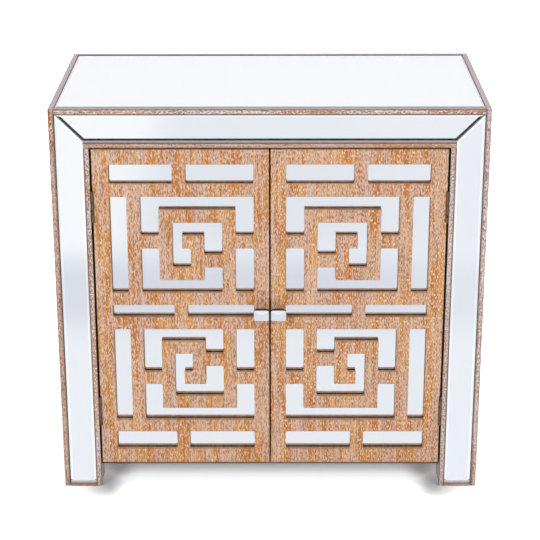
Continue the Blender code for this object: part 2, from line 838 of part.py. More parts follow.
def shelf_pin_holes(side):
    """Rows of blind holes in a side, so that the shelf can be moved up and down."""
    wall = side * (HALF - SIDE_THICKNESS)
    shapes = []
    for _, y in shelf_pin_places(side):
        for row in range(PIN_HOLE_ROWS):
            z = shelf_pin_height() + (row - PIN_HOLE_ROWS // 2) * PIN_HOLE_PITCH
            outline = circle(y, z, PIN_HOLE_RADIUS)
            shapes.append(prism("x", outline, wall - side * OVERRUN, wall + side * PIN_HOLE_DEPTH))
    return shapes


def make_shelf():
    edge = HALF - SIDE_THICKNESS - SHELF_SIDE_PLAY
    board = piece(
        "shelf",
        block(
            (-edge, edge),
            (FRONT + SHELF_SETBACK, BACK - BACK_THICKNESS - FIT),
            (SHELF_HEIGHT, SHELF_HEIGHT + SHELF_THICKNESS),
        ),
        INSIDE_WOOD,
    )
    pocket = SHELF_PIN_COLLAR_RADIUS + FIT
    notches = []
    for name, side in SIDES:
        wall = HALF - SIDE_THICKNESS
        for place, y in shelf_pin_places(side):
            z = shelf_pin_height()
            profile = [
                (SHELF_PIN_RADIUS, side * (wall + PIN_HOLE_DEPTH - FIT)),
                (SHELF_PIN_RADIUS, side * (wall - FIT)),
                (SHELF_PIN_COLLAR_RADIUS, side * (wall - FIT)),
                (SHELF_PIN_COLLAR_RADIUS, side * (wall - FIT - SHELF_PIN_COLLAR)),
                (SHELF_PIN_RADIUS, side * (wall - FIT - SHELF_PIN_COLLAR)),
                (SHELF_PIN_RADIUS, side * (wall - SHELF_PIN_REACH)),
            ]
            piece(name + "_" + place + "_shelf_pin", turned("x", y, z, profile), ZINC, smooth=True)
            inner = side * (wall - 2 * FIT - SHELF_PIN_COLLAR)
            outline = rectangle(y - pocket, y + pocket, z - OVERRUN, z + pocket)
            notches.append(prism("x", outline, inner, side * (wall + OVERRUN)))
    cut(board, "shelf_collar_notches", notches)


def make_catch(name, side, door):
    """A magnetic catch screwed behind the top rail, and the steel plate on the door that it pulls."""
    face = DOOR_REAR + FIT + STRIKE_THICKNESS + FIT
    top = OPENING_TOP - FIT
    middle = side * CATCH_FROM_MIDDLE
    flange = FRAME_REAR + FIT
    outline = [
        (face, top - CATCH_HEIGHT),
        (face + CATCH_DEPTH, top - CATCH_HEIGHT),
        (face + CATCH_DEPTH, top),
        (flange + CATCH_FLANGE_THICKNESS, top),
        (flange + CATCH_FLANGE_THICKNESS, top + CATCH_FLANGE_HEIGHT),
        (flange, top + CATCH_FLANGE_HEIGHT),
        (flange, top),
        (face, top),
    ]
    body = prism("x", outline, middle - CATCH_WIDTH / 2, middle + CATCH_WIDTH / 2)
    piece(name + "_catch", body, CATCH_PLASTIC)
    centre = top - CATCH_HEIGHT / 2
    outline = rectangle(
        middle - STRIKE_WIDTH / 2,
        middle + STRIKE_WIDTH / 2,
        centre - STRIKE_HEIGHT / 2,
        centre + STRIKE_HEIGHT / 2,
    )
    plate = prism("y", softened(outline, SCREW_RADIUS), DOOR_REAR + FIT, DOOR_REAR + FIT + STRIKE_THICKNESS)
    piece(name + "_strike_plate", plate, ZINC, door)


def make_door(name, side):
    """A door and all that swings with it, under an empty that stands on the hinge axis."""
    door = bpy.data.objects.new(name + "_door_axis", None)
    bpy.context.scene.collection.objects.link(door)
    door.location = (side * AXIS_X, AXIS_Y, 0)
    make_fretwork(name, side, door)
    make_door_panels(name, side, door)
    make_knob(name, side, door)
    make_knob_screw(name, side, door)
    make_hinges(name, side, door)
    make_catch(name, side, door)


clear_scene()
make_body()
make_front_frame()
make_feet()
make_beads()
make_glass()
make_shelf()
for door_name, door_side in SIDES:
    make_door(door_name, door_side)
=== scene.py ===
import math

import bmesh
import bpy
from mathutils import Euler, Matrix, Vector


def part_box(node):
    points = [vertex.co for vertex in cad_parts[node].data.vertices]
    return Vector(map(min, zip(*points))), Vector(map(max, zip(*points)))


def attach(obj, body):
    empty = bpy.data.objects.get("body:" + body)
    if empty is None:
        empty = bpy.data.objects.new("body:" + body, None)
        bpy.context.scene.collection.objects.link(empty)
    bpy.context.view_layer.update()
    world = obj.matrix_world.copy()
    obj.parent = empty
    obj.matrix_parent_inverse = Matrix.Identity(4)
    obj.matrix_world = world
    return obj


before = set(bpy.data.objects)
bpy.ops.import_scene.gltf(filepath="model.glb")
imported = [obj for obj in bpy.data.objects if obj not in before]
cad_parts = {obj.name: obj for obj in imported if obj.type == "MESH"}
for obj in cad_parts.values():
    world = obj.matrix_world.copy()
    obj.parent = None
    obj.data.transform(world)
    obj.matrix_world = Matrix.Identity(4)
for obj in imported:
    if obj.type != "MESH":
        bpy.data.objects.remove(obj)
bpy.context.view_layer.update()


# The camera stands a little above the cabinet, as the photographer's did. Its place was solved from the
# cabinet's own corners: 2.96 m in front of the doors, looking down about 20 degrees.
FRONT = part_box("left_outer_bead")[0].y
CAMERA_DISTANCE = 2.9589
CAMERA_PLACE = Vector((0.00936, FRONT - CAMERA_DISTANCE, 1.5489))
CAMERA_PITCH = math.radians(20.38)
CAMERA_YAW = math.radians(0.18)
CAMERA_ROLL = math.radians(-0.083)
CAMERA_LENS = 113.2
CAMERA_SENSOR = 36
VIEW_DEPTH = 50
camera = bpy.data.objects.new("camera", bpy.data.cameras.new("camera"))
bpy.context.scene.collection.objects.link(camera)
camera.data.lens = CAMERA_LENS
camera.data.sensor_width = CAMERA_SENSOR
camera.data.clip_end = VIEW_DEPTH
facing = Euler((math.pi / 2 - CAMERA_PITCH, 0, CAMERA_YAW)).to_matrix()
facing = facing @ Matrix.Rotation(CAMERA_ROLL, 3, "Z")
camera.matrix_world = Matrix.Translation(CAMERA_PLACE) @ facing.to_4x4()
bpy.context.scene.camera = camera
bpy.context.scene.view_settings.view_transform = "Standard"


# The cabinet stands on white paper. The paper's colour holds a painted shadow at each front leg, with a
# fainter painted shadow running back along it. Mirrors show the paper, a little greyer a few steps in front,
# and further out an unlit room.
def shade(red, green, blue):
    """A colour as a screen shows it, from 0 to 255, turned into the light that it stands for."""
    channels = [value / 255 for value in (red, green, blue)]
    return [c / 12.92 if c <= 0.04045 else ((c + 0.055) / 1.055) ** 2.4 for c in channels] + [1]


class Mixture:
    """A finish being mixed: each call adds one node and hands back what comes out of it."""

    def __init__(self, tree):
        self.tree = tree

    def node(self, kind, inputs=(), output=0, **settings):
        made = self.tree.nodes.new(kind)
        for name, value in settings.items():
            setattr(made, name, value)
        for name, value in dict(inputs).items():
            self.feed(made.inputs[name], value)
        return made.outputs[output]

    def feed(self, socket, value):
        if isinstance(value, bpy.types.NodeSocket):
            self.tree.links.new(value, socket)
        else:
            socket.default_value = value

    def sum(self, operation, first, second=0.0):
        return self.node("ShaderNodeMath", {0: first, 1: second}, operation=operation)

    def mix(self, share, first, second):
        return self.node("ShaderNodeMix", {0: share, 6: first, 7: second}, 2, data_type="RGBA")

    def rise(self, value, low, high):
        """Nought below low and one above high, with a smooth rise between them."""
        inputs = {"Value": value, "From Min": low, "From Max": high}
        return self.node("ShaderNodeMapRange", inputs, interpolation_type="SMOOTHSTEP")

    def fall(self, value, low, high):
        return self.sum("SUBTRACT", 1.0, self.rise(value, low, high))


PAPER_REACH = 14
PAPER_EDGE = 3.8
PAPER_GAIN = 2.35
PAPER_GLOW = 0.15
PAPER_OPEN = 0.75
PAPER_LIT = shade(239, 241, 243)
PAPER_UNDER = shade(235, 243, 249)
PAPER_DEEP = shade(231, 245, 254)
PAPER_FAR = (1, 1, 1, 1)
PAPER_NEAR = shade(243, 245, 248)
PAPER_MIDDLE = shade(236, 238, 243)
PAPER_BAND = shade(224, 226, 234)
CHROME_PAPER = shade(235, 238, 244)
UNLIT_ROOM = shade(6, 6, 9)
MIRRORED_PAPER = 1.08
EDGE_SOFTNESS = 0.25
OPEN_SOFTNESS = 0.5
PAPER_BEYOND = (1.22, 1.5)
BAND_BEGINS = (0.66, 0.96)
BAND_ENDS = (1.12, 1.38)
CHROME_FADE = (1.1, 2.4)
LEFT_FADE = (-0.48, -0.3)
RIGHT_FADE = (0.1, 0.55)
DEEP_FADE = (-0.09, -0.05)
LIT_FADE = (-0.03, 0.03)
BEHIND_GLASS = (0.4, 0.6)
PAINTED_SHADOW_FROM_MIDDLE = 0.315
PAINTED_SHADOW_INWARDS = 0.046
PAINTED_SHADOW_OUTWARDS = 0.1
PAINTED_SHADOW_FORWARDS = 0.09
PAINTED_SHADOW_BACKWARDS = 0.095
PAINTED_SHADOW_DARKNESS = 0.65
SHADOW_TAIL_FROM_MIDDLE = 0.301
SHADOW_TAIL_WIDTH = 0.042
SHADOW_TAIL_BEGINS = 0.06
SHADOW_TAIL_ENDS = 0.3
SHADOW_TAIL_DARKNESS = 0.36
paper = bpy.data.objects.new("paper", bpy.data.meshes.new("paper"))
shape = bmesh.new()
bmesh.ops.create_grid(shape, x_segments=1, y_segments=1, size=PAPER_REACH)
shape.to_mesh(paper.data)
shape.free()
bpy.context.scene.collection.objects.link(paper)
paper.data.materials.append(bpy.data.materials.new("white_paper"))
paper.data.materials[0].use_nodes = True
tree = paper.data.materials[0].node_tree
tree.nodes.clear()
mixture = Mixture(tree)
spot = mixture.node("ShaderNodeTexCoord", output="Object")
split = mixture.node("ShaderNodeSeparateXYZ", {0: spot}).node.outputs
away = mixture.sum("SUBTRACT", FRONT, split["Y"])
beyond = mixture.rise(away, *PAPER_BEYOND)
not_left = mixture.rise(split["X"], *LEFT_FADE)
not_right = mixture.fall(split["X"], *RIGHT_FADE)
centred = mixture.sum("ADD", 0.7, mixture.sum("MULTIPLY", not_right, 0.3))
middle = mixture.sum("MULTIPLY", not_left, centred)
seen = mixture.mix(beyond, PAPER_NEAR, mixture.mix(middle, PAPER_FAR, PAPER_MIDDLE))
band = mixture.sum("MULTIPLY", mixture.rise(away, *BAND_BEGINS), mixture.fall(away, *BAND_ENDS))
band = mixture.sum("MULTIPLY", band, mixture.sum("ADD", 0.5, mixture.sum("MULTIPLY", not_right, 0.5)))
seen = mixture.mix(band, seen, PAPER_BAND)
distance = mixture.node("ShaderNodeVectorMath", {0: spot}, "Value", operation="LENGTH")
ray = mixture.node("ShaderNodeLightPath").node.outputs
through_glass = mixture.rise(ray["Transmission Depth"], *BEHIND_GLASS)
bare = mixture.mix(mixture.rise(away, *CHROME_FADE), CHROME_PAPER, PAPER_FAR)
edged = mixture.rise(distance, PAPER_EDGE, PAPER_EDGE + EDGE_SOFTNESS)
seen = mixture.mix(through_glass, bare, mixture.mix(edged, seen, UNLIT_ROOM))
mirrored = mixture.sum("MAXIMUM", ray["Is Glossy Ray"], ray["Is Transmission Ray"])
open_floor = mixture.rise(distance, PAPER_OPEN, PAPER_OPEN + OPEN_SOFTNESS)
glow = mixture.sum("ADD", PAPER_GLOW, mixture.sum("MULTIPLY", open_floor, 0.5))
# Painted shadow: round each front leg the paper's colour and glow are darkened.
inwards = mixture.sum("SUBTRACT", PAINTED_SHADOW_FROM_MIDDLE, mixture.sum("ABSOLUTE", split["X"]))
inner = mixture.sum("DIVIDE", inwards, PAINTED_SHADOW_INWARDS)
outer = mixture.sum("DIVIDE", inwards, -PAINTED_SHADOW_OUTWARDS)
before = mixture.sum("DIVIDE", away, PAINTED_SHADOW_FORWARDS)
behind = mixture.sum("DIVIDE", away, -PAINTED_SHADOW_BACKWARDS)
across = mixture.sum("MAXIMUM", inner, outer)
along = mixture.sum("MAXIMUM", before, behind)
offset = mixture.node("ShaderNodeCombineXYZ", {0: across, 1: along})
offset = mixture.node("ShaderNodeVectorMath", {0: offset}, "Value", operation="LENGTH")
painted_shadow = mixture.sum("MULTIPLY", mixture.fall(offset, 0.0, 1.0), PAINTED_SHADOW_DARKNESS)
# A fainter painted shadow runs back under the cabinet along each leg.
offset = mixture.sum("ABSOLUTE", split["X"])
offset = mixture.sum("ABSOLUTE", mixture.sum("SUBTRACT", offset, SHADOW_TAIL_FROM_MIDDLE))
shadow_tail = mixture.sum("MULTIPLY", mixture.fall(offset, 0.0, SHADOW_TAIL_WIDTH), mixture.fall(away, -SHADOW_TAIL_BEGINS, 0.0))
shadow_tail = mixture.sum("MULTIPLY", shadow_tail, mixture.rise(away, -SHADOW_TAIL_ENDS, -SHADOW_TAIL_ENDS / 2))
painted_shadow = mixture.sum("MAXIMUM", painted_shadow, mixture.sum("MULTIPLY", shadow_tail, SHADOW_TAIL_DARKNESS))
painted_shadow = mixture.sum("SUBTRACT", 1.0, painted_shadow)
glow = mixture.sum("MULTIPLY", mixture.sum("MULTIPLY", ray["Is Camera Ray"], glow), painted_shadow)
gain = mixture.sum("ADD", 1.0, mixture.sum("MULTIPLY", ray["Is Camera Ray"], PAPER_GAIN - 1))
gain = mixture.sum("MULTIPLY", gain, painted_shadow)
# Painted light: the paper is tinted bluer under the cabinet, to cancel the oak's warm light on it.
white = mixture.mix(mixture.rise(away, *DEEP_FADE), PAPER_DEEP, PAPER_UNDER)
white = mixture.mix(mixture.rise(away, *LIT_FADE), white, PAPER_LIT)
white = mixture.node("ShaderNodeVectorMath", {0: white, "Scale": gain}, operation="SCALE")
matt = mixture.node("ShaderNodeBsdfDiffuse", {"Color": white})
glowing = mixture.node("ShaderNodeEmission", {"Strength": glow})
lit = mixture.node("ShaderNodeAddShader", {0: matt, 1: glowing})
image = mixture.node("ShaderNodeEmission", {"Color": seen, "Strength": MIRRORED_PAPER})
shown = mixture.node("ShaderNodeMixShader", {0: mirrored, 1: lit, 2: image})
tree.links.new(shown, tree.nodes.new("ShaderNodeOutputMaterial").inputs["Surface"])


# The light is plain and soft: a white room, a broad lamp to each side in front, and a weaker one overhead.
# Low down, the room's walls past the paper are dark, and so is its ceiling where bare chrome shows it.
AMBIENT = 0.36
ROOM_DARK = 0.16
ROOM_DIM = 0.97
CEILING_DARK = 0.05
CEILING_LOW = math.sin(math.radians(36))
CEILING_HIGH = math.sin(math.radians(46))
ROOM_LOW = math.sin(math.radians(3))
ROOM_HIGH = math.sin(math.radians(11))
world = bpy.data.worlds.new("studio")
bpy.context.scene.world = world
world.use_nodes = True
tree = world.node_tree
tree.nodes.clear()
mixture = Mixture(tree)
direction = mixture.node("ShaderNodeTexCoord", output="Generated")
height = mixture.node("ShaderNodeSeparateXYZ", {0: direction}, "Z")
ray = mixture.node("ShaderNodeLightPath").node.outputs
through_glass = mixture.rise(ray["Transmission Depth"], *BEHIND_GLASS)
low_wall = mixture.sum("MULTIPLY", through_glass, ROOM_DARK - ROOM_DIM)
low_wall = mixture.sum("ADD", low_wall, ROOM_DIM)
upper = mixture.rise(height, ROOM_LOW, ROOM_HIGH)
wall = mixture.sum("MULTIPLY", upper, mixture.sum("SUBTRACT", 1.0, low_wall))
wall = mixture.sum("MULTIPLY", mixture.sum("ADD", wall, low_wall), MIRRORED_PAPER)
ceiling = mixture.sum("MULTIPLY", mixture.rise(height, CEILING_LOW, CEILING_HIGH), 1 - CEILING_DARK)
ceiling = mixture.sum("MULTIPLY", ceiling, mixture.sum("SUBTRACT", 1.0, through_glass))
wall = mixture.sum("MULTIPLY", wall, mixture.sum("SUBTRACT", 1.0, ceiling))
mirrored = mixture.sum("MAXIMUM", ray["Is Glossy Ray"], ray["Is Transmission Ray"])
plain = mixture.sum("ADD", AMBIENT, mixture.sum("MULTIPLY", ray["Is Camera Ray"], 1 - AMBIENT))
plain = mixture.sum("MULTIPLY", plain, mixture.sum("SUBTRACT", 1.0, mirrored))
level = mixture.sum("ADD", plain, mixture.sum("MULTIPLY", wall, mirrored))
sky = mixture.node("ShaderNodeBackground", {"Color": (1, 1, 1, 1), "Strength": level})
tree.links.new(sky, tree.nodes.new("ShaderNodeOutputWorld").inputs["Surface"])

CABINET_MIDDLE = Vector((0, 0, 0.38))
LAMPS = {
    "left_lamp": ((-2.4, -2.9, 1.9), 1.5, 1.5, 48),
    "right_lamp": ((2.4, -2.9, 1.9), 1.5, 1.5, 48),
    "overhead_lamp": ((0.0, 0.1, 3.2), 2.2, 1.8, 26),
}
for name, (position, width, height, watts) in LAMPS.items():
    lamp = bpy.data.lights.new(name, "AREA")
    lamp.shape = "RECTANGLE"
    lamp.size = width
    lamp.size_y = height
    lamp.energy = watts
    holder = bpy.data.objects.new(name, lamp)
    bpy.context.scene.collection.objects.link(holder)
    holder.location = position
    holder.rotation_euler = (CABINET_MIDDLE - holder.location).to_track_quat("-Z", "Y").to_euler()
    holder.visible_glossy = False
    holder.visible_transmission = False


# The body's outer boards and feet are oak with open grain, wiped with white liming wax. The wax stays in
# the pores as pale dashes along the fibres, and between them the wood shows in orange-brown patches.
def principled(name):
    """A new material, its shader, and a mixture to feed it."""
    material = bpy.data.materials.new(name)
    material.use_nodes = True
    return material, material.node_tree.nodes["Principled BSDF"], Mixture(material.node_tree)


FIGURE = (30, 4)
STREAKS = (330, 9)
PATCHES = (58, 6)
LINES = (480, 22)
WAX_LEVEL = 0.62
WAX_LEVEL_WASHED = 0.135
WAX_THICKNESS = 0.72
WAX_THINNED = 0.14
FILM_STRENGTH = 0.36
PORE_STRENGTH = 0.55


def limed_oak(name, grain, colours, wash, shift, dashes=(740, 170), contrast=1.25):
    """Limed oak with its fibres along one axis; wash is the share of it that took the wax.

    The five colours are the wood's heart, its tan, the wax, the wax's lilac and the pores."""
    material, shader, mixture = principled(name)
    place = mixture.node("ShaderNodeTexCoord", output="Object")

    def fibres(across, along, offset, detail=2.0, wander=0.0):
        """Noise drawn out along the fibres, with so many features in a metre across and along them."""
        scale = [along if axis == grain else across for axis in "XYZ"]
        spots = {"Vector": place, "Location": (offset, offset * 0.7, offset * 1.3), "Scale": scale}
        drawn = mixture.node("ShaderNodeMapping", spots)
        grains = {"Vector": drawn, "Scale": 1.0, "Detail": detail, "Roughness": 0.6, "Distortion": wander}
        return mixture.node("ShaderNodeTexNoise", grains)

    heart, tan, wax, lilac, pore = [shade(*colour) for colour in colours]
    across, along = dashes
    ring = fibres(*FIGURE, shift, 3, 0.4)
    streak = fibres(*STREAKS, shift + 7, 1)
    tone = mixture.sum("ADD", mixture.sum("MULTIPLY", ring, 0.6), mixture.sum("MULTIPLY", streak, 0.4))
    wood = mixture.mix(mixture.rise(tone, 0.43, 0.57), heart, tan)
    washed = mixture.fall(fibres(*PATCHES, shift + 3, 3, 0.4), wash - 0.07, wash + 0.07)
    share = mixture.sum("SUBTRACT", WAX_LEVEL, mixture.sum("MULTIPLY", washed, WAX_LEVEL_WASHED))
    waxed = mixture.rise(mixture.sum("SUBTRACT", fibres(across, along, shift + 11, 0), share), -0.04, 0.06)
    pits = mixture.rise(mixture.sum("SUBTRACT", fibres(across, along, shift + 17, 0), share), 0.07, 0.14)
    pale = mixture.mix(washed, wax, lilac)
    line = mixture.rise(fibres(*LINES, shift + 29, 1), 0.45, 0.58)
    film = mixture.sum("ADD", mixture.sum("MULTIPLY", line, 0.55), mixture.rise(streak, 0.46, 0.64))
    film = mixture.sum("MULTIPLY", film, mixture.sum("ADD", washed, 0.22))
    film = mixture.sum("MULTIPLY", film, FILM_STRENGTH)
    colour = mixture.mix(film, wood, pale)
    colour = mixture.mix(mixture.sum("MULTIPLY", pits, PORE_STRENGTH * contrast), colour, pore)
    thick = mixture.sum("SUBTRACT", WAX_THICKNESS, mixture.sum("MULTIPLY", washed, WAX_THINNED))
    cover = mixture.sum("MULTIPLY", mixture.sum("MULTIPLY", waxed, thick), contrast)
    colour = mixture.mix(cover, colour, pale)
    mixture.feed(shader.inputs["Base Color"], colour)
    rough = {"Value": waxed, "To Min": 0.46, "To Max": 0.7}
    mixture.feed(shader.inputs["Roughness"], mixture.node("ShaderNodeMapRange", rough))
    sunk = mixture.sum("MULTIPLY", pits, 0.5)
    relief = mixture.sum("SUBTRACT", mixture.sum("MULTIPLY", streak, 0.6), sunk)
    bump = {"Height": relief, "Strength": 0.5, "Distance": 0.0003}
    mixture.feed(shader.inputs["Normal"], mixture.node("ShaderNodeBump", bump))
    shader.inputs["Specular IOR Level"].default_value = 0.35
    return material


def finish(material, *names):
    """Gives CAD pieces their finished material."""
    for name in names:
        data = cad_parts[name].data
        data.materials.clear()
        data.materials.append(material)


OAK = ((187, 113, 38), (209, 147, 76), (240, 211, 187), (230, 204, 191), (118, 78, 48))
body_oak = limed_oak("limed_oak_body", "Z", OAK, 0.5, 41.0)
finish(body_oak, "left_side", "right_side", "left_stile", "right_stile")
finish(limed_oak("limed_oak_top", "X", OAK, 0.5, 61.0), "top_rail")

# Painted shade: the feet take much darker colours than the body, for the shadow they stand in under the
# cabinet.
SHADED_FOOT = ((104, 72, 48), (122, 90, 66), (186, 168, 158), (176, 162, 160), (70, 48, 34))
shaded_feet = limed_oak("limed_oak_feet", "Z", SHADED_FOOT, 0.48, 71.0)
finish(shaded_feet, "left_front_foot", "right_front_foot", "left_rear_foot", "right_rear_foot")


# Inside, the bottom, the shelf, the apron and the doors' backs are board with a brown stain and no wax.
# The back is thin pressed board.
STAIN = ((112, 74, 46), (132, 92, 60), (156, 118, 86), (150, 116, 90), (76, 50, 32))
stained = limed_oak("stained_board", "X", STAIN, 0.5, 141.0, contrast=0.6)
finish(stained, "bottom_board", "shelf", "front_apron")
upright = limed_oak("stained_board_upright", "Z", STAIN, 0.5, 151.0, contrast=0.6)
finish(upright, "left_door_board", "right_door_board")
PRESSED = ((122, 94, 70), (134, 106, 80), (156, 130, 104), (150, 128, 106), (98, 74, 54))
finish(limed_oak("pressed_board", "X", PRESSED, 0.5, 161.0, (420, 300), 0.5), "back_board")


# The top board is the same stained board, housed between the sides. The top glass lies on it, and the
# board's face under it is painted dark, a painted shade that shows at the glass's edge.
PAINTED_SHADE_UNDER_GLASS = shade(34, 26, 22)
FACES_UNDER_GLASS = (0.5, 0.6)


def reopened(material):
    """The shader of a finished material, a mixture to add to it, and the colour that it has so far."""
    shader = material.node_tree.nodes["Principled BSDF"]
    return shader, Mixture(material.node_tree), shader.inputs["Base Color"].links[0].from_socket


def shaded_under_glass(material, axis):
    """Darkens the faces that carry glass or mirror, which face along one axis, as painted shade."""
    shader, mixture, colour = reopened(material)
    normal = mixture.node("ShaderNodeTexCoord", output="Normal")
    side = mixture.rise(mixture.node("ShaderNodeSeparateXYZ", {0: normal}, axis), *FACES_UNDER_GLASS)
    mixture.feed(shader.inputs["Base Color"], mixture.mix(side, colour, PAINTED_SHADE_UNDER_GLASS))
    return material


top_stain = limed_oak("stained_top_board", "X", STAIN, 0.5, 146.0, contrast=0.6)
finish(shaded_under_glass(top_stain, "Z"), "top_board")


# The beads are narrow oak lippings, glued round the front and the top. They are paler than the doors, and
# their upper faces paler still, partly wax and partly a painted sheen. Their rounded edges are darkened to
# brown, partly as rubbed wear and partly as painted shade, most on the side towards the glass.
BROWN_BEAD = ((158, 104, 60), (184, 132, 88), (240, 212, 190), (222, 194, 184), (96, 68, 50))
PALE_BEAD = ((166, 118, 84), (194, 156, 130), (248, 238, 232), (232, 222, 226), (100, 74, 60))
PALER = ("right_outer_bead", "left_inner_bead", "right_inner_bead", "right_foot_bead", "top_front_bead")
RUBBED_AND_SHADED = shade(116, 84, 66)
UPPER_WAX_AND_SHEEN = shade(202, 192, 202)
FRONT_BEAD_WAX_AND_SHEEN = shade(164, 160, 170)
INSIDE_PAINTED_SHADE = shade(40, 30, 28)
RUBBED_AND_SHADED_WIDTH = 0.0036
BEAD_WASH = 0.55
BEAD_SHIFT = 81.0
BEAD_DASHES = (700, 300)
BEAD_CONTRAST = 1.4
BEADS = {
    "left_outer_bead": ("Z", "X", (1, 0, 0), (0.1, 0.6)),
    "right_outer_bead": ("Z", "X", (-1, 0, 0), (0.6, 0.1)),
    "left_inner_bead": ("Z", "X", (1, 0, 0), (0.9, 0.0)),
    "right_inner_bead": ("Z", "X", (-1, 0, 0), (0.0, 0.9)),
    "head_bead": ("X", "Z", (0, 0, -1), (0.3, 0.9)),
    "left_foot_bead": ("X", "Z", (0, 0, -1), (0.3, 0.6)),
    "right_foot_bead": ("X", "Z", (0, 0, -1), (0.3, 0.6)),
    "top_front_bead": ("X", "Z", (0, 1, 0), (0.9, 0.7)),
    "top_back_bead": ("X", "Z", (0, -1, 0), (0.5, 0.5)),
    "top_left_bead": ("Y", "X", (1, 0, 0), (0.3, 0.5)),
    "top_right_bead": ("Y", "X", (-1, 0, 0), (0.5, 0.3)),
}
for number, (bead, (grain, across, inward, worn_and_shaded)) in enumerate(BEADS.items()):
    colours = PALE_BEAD if bead in PALER else BROWN_BEAD
    shift = BEAD_SHIFT + 3 * number
    material = limed_oak("limed_" + bead, grain, colours, BEAD_WASH, shift, BEAD_DASHES, BEAD_CONTRAST)
    shader, mixture, colour = reopened(material)
    low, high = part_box(bead)
    axis = "XYZ".index(across)
    place = mixture.node("ShaderNodeTexCoord", output="Object")
    place = mixture.node("ShaderNodeSeparateXYZ", {0: place}, across)
    normal = mixture.node("ShaderNodeTexCoord", output="Normal")
    normals = mixture.node("ShaderNodeSeparateXYZ", {0: normal}).node.outputs
    # Painted shade and rubbed wear: the edges darken to brown, most on the side towards the glass.
    lower = mixture.fall(place, low[axis] + RUBBED_AND_SHADED_WIDTH / 2, low[axis] + RUBBED_AND_SHADED_WIDTH)
    upper = mixture.rise(place, high[axis] - RUBBED_AND_SHADED_WIDTH, high[axis] - RUBBED_AND_SHADED_WIDTH / 2)
    lower = mixture.sum("MULTIPLY", lower, worn_and_shaded[0])
    rubbed_and_shaded = mixture.sum("ADD", lower, mixture.sum("MULTIPLY", upper, worn_and_shaded[1]))
    facing = mixture.fall(mixture.sum("ABSOLUTE", normals[across]), 0.6, 0.9)
    colour = mixture.mix(mixture.sum("MULTIPLY", rubbed_and_shaded, facing), colour, RUBBED_AND_SHADED)
    # Painted sheen and wax: the faces that look up take a lilac-grey.
    upper = mixture.sum("MULTIPLY", mixture.rise(normals["Z"], 0.7, 0.95), 0.65)
    colour = mixture.mix(upper, colour, FRONT_BEAD_WAX_AND_SHEEN if bead == "top_front_bead" else UPPER_WAX_AND_SHEEN)
    # Painted shade: the face that looks into the gap or onto the glass is painted nearly black.
    inner = mixture.node("ShaderNodeVectorMath", {0: normal, 1: inward}, "Value", operation="DOT_PRODUCT")
    colour = mixture.mix(mixture.rise(inner, 0.8, 0.95), colour, INSIDE_PAINTED_SHADE)
    mixture.feed(shader.inputs["Base Color"], colour)
    finish(material, bead)


# All the mirrors are clear glass with a skin of silver on the back, a little short of the edges. The strips
# and the top are ground to a shallow bevel. Under it the silver is painted brighter, a painted highlight,
# and along the top strip's lower edge and mitres it is painted dark, a painted dark reflection.
clear, shader, _ = principled("clear_glass")
shader.inputs["Base Color"].default_value = (0.992, 1.0, 0.997, 1)
shader.inputs["Roughness"].default_value = 0.0
shader.inputs["IOR"].default_value = 1.52
shader.inputs["Transmission Weight"].default_value = 1.0
PANES = {
    "top_glass": ("carcass", "Z", "top_silver"),
    "left_strip_glass": ("carcass", "Y", "strip_silver"),
    "right_strip_glass": ("carcass", "Y", "strip_silver"),
    "top_strip_glass": ("carcass", "Y", "strip_silver"),
    "left_door_glass": ("left_door", "Y", "door_silver"),
    "right_door_glass": ("right_door", "Y", "door_silver"),
}
finish(clear, *PANES)

SILVER_COAT = 0.00012
SILVER_SUNK = 0.00003
SILVER_SHORT = {"Y": (0.0001, 0, 0.0001), "Z": (0.0012, 0.0006, 0)}
BEVEL_WIDTH = 0.0047
PAINTED_REFLECTION_WIDTH = 0.0023
PAINTED_REFLECTION_BEGINS = 0.0027
SPECK_SCALE = 22.0
SPECK_EDGE = (0.015, 0.028)
SPECK_CHOSEN = (0.9, 0.91)
SPECK_STRENGTH = 0.75
SPECK_GREY = shade(70, 70, 74)
# Painted light and shade: each pane's silver has its own brightness, brightest on the top and dullest on the
# doors, for how bright each mirror shows.
SILVERS = {
    "top_silver": (0.9, 0.912, 0.945, 1),
    "strip_silver": (0.868, 0.883, 0.912, 1),
    "door_silver": (0.838, 0.85, 0.876, 1),
    "bevel_silver": (0.98, 0.99, 1.0, 1),
    "dark_silver": shade(34, 34, 42),
}
silvers = {}
for name, bright in SILVERS.items():
    silver, shader, mixture = principled(name)
    shader.inputs["Metallic"].default_value = 1.0
    shader.inputs["Roughness"].default_value = 0.0
    place = mixture.node("ShaderNodeTexCoord", output="Object")
    cells = mixture.node("ShaderNodeTexVoronoi", {"Vector": place, "Scale": SPECK_SCALE}).node
    near = mixture.fall(cells.outputs["Distance"], *SPECK_EDGE)
    chosen = mixture.node("ShaderNodeSeparateColor", {0: cells.outputs["Color"]}, "Red")
    speck = mixture.sum("MULTIPLY", near, mixture.rise(chosen, *SPECK_CHOSEN))
    speck = mixture.sum("MULTIPLY", speck, SPECK_STRENGTH)
    mixture.feed(shader.inputs["Base Color"], mixture.mix(speck, bright, SPECK_GREY))
    silvers[name] = silver
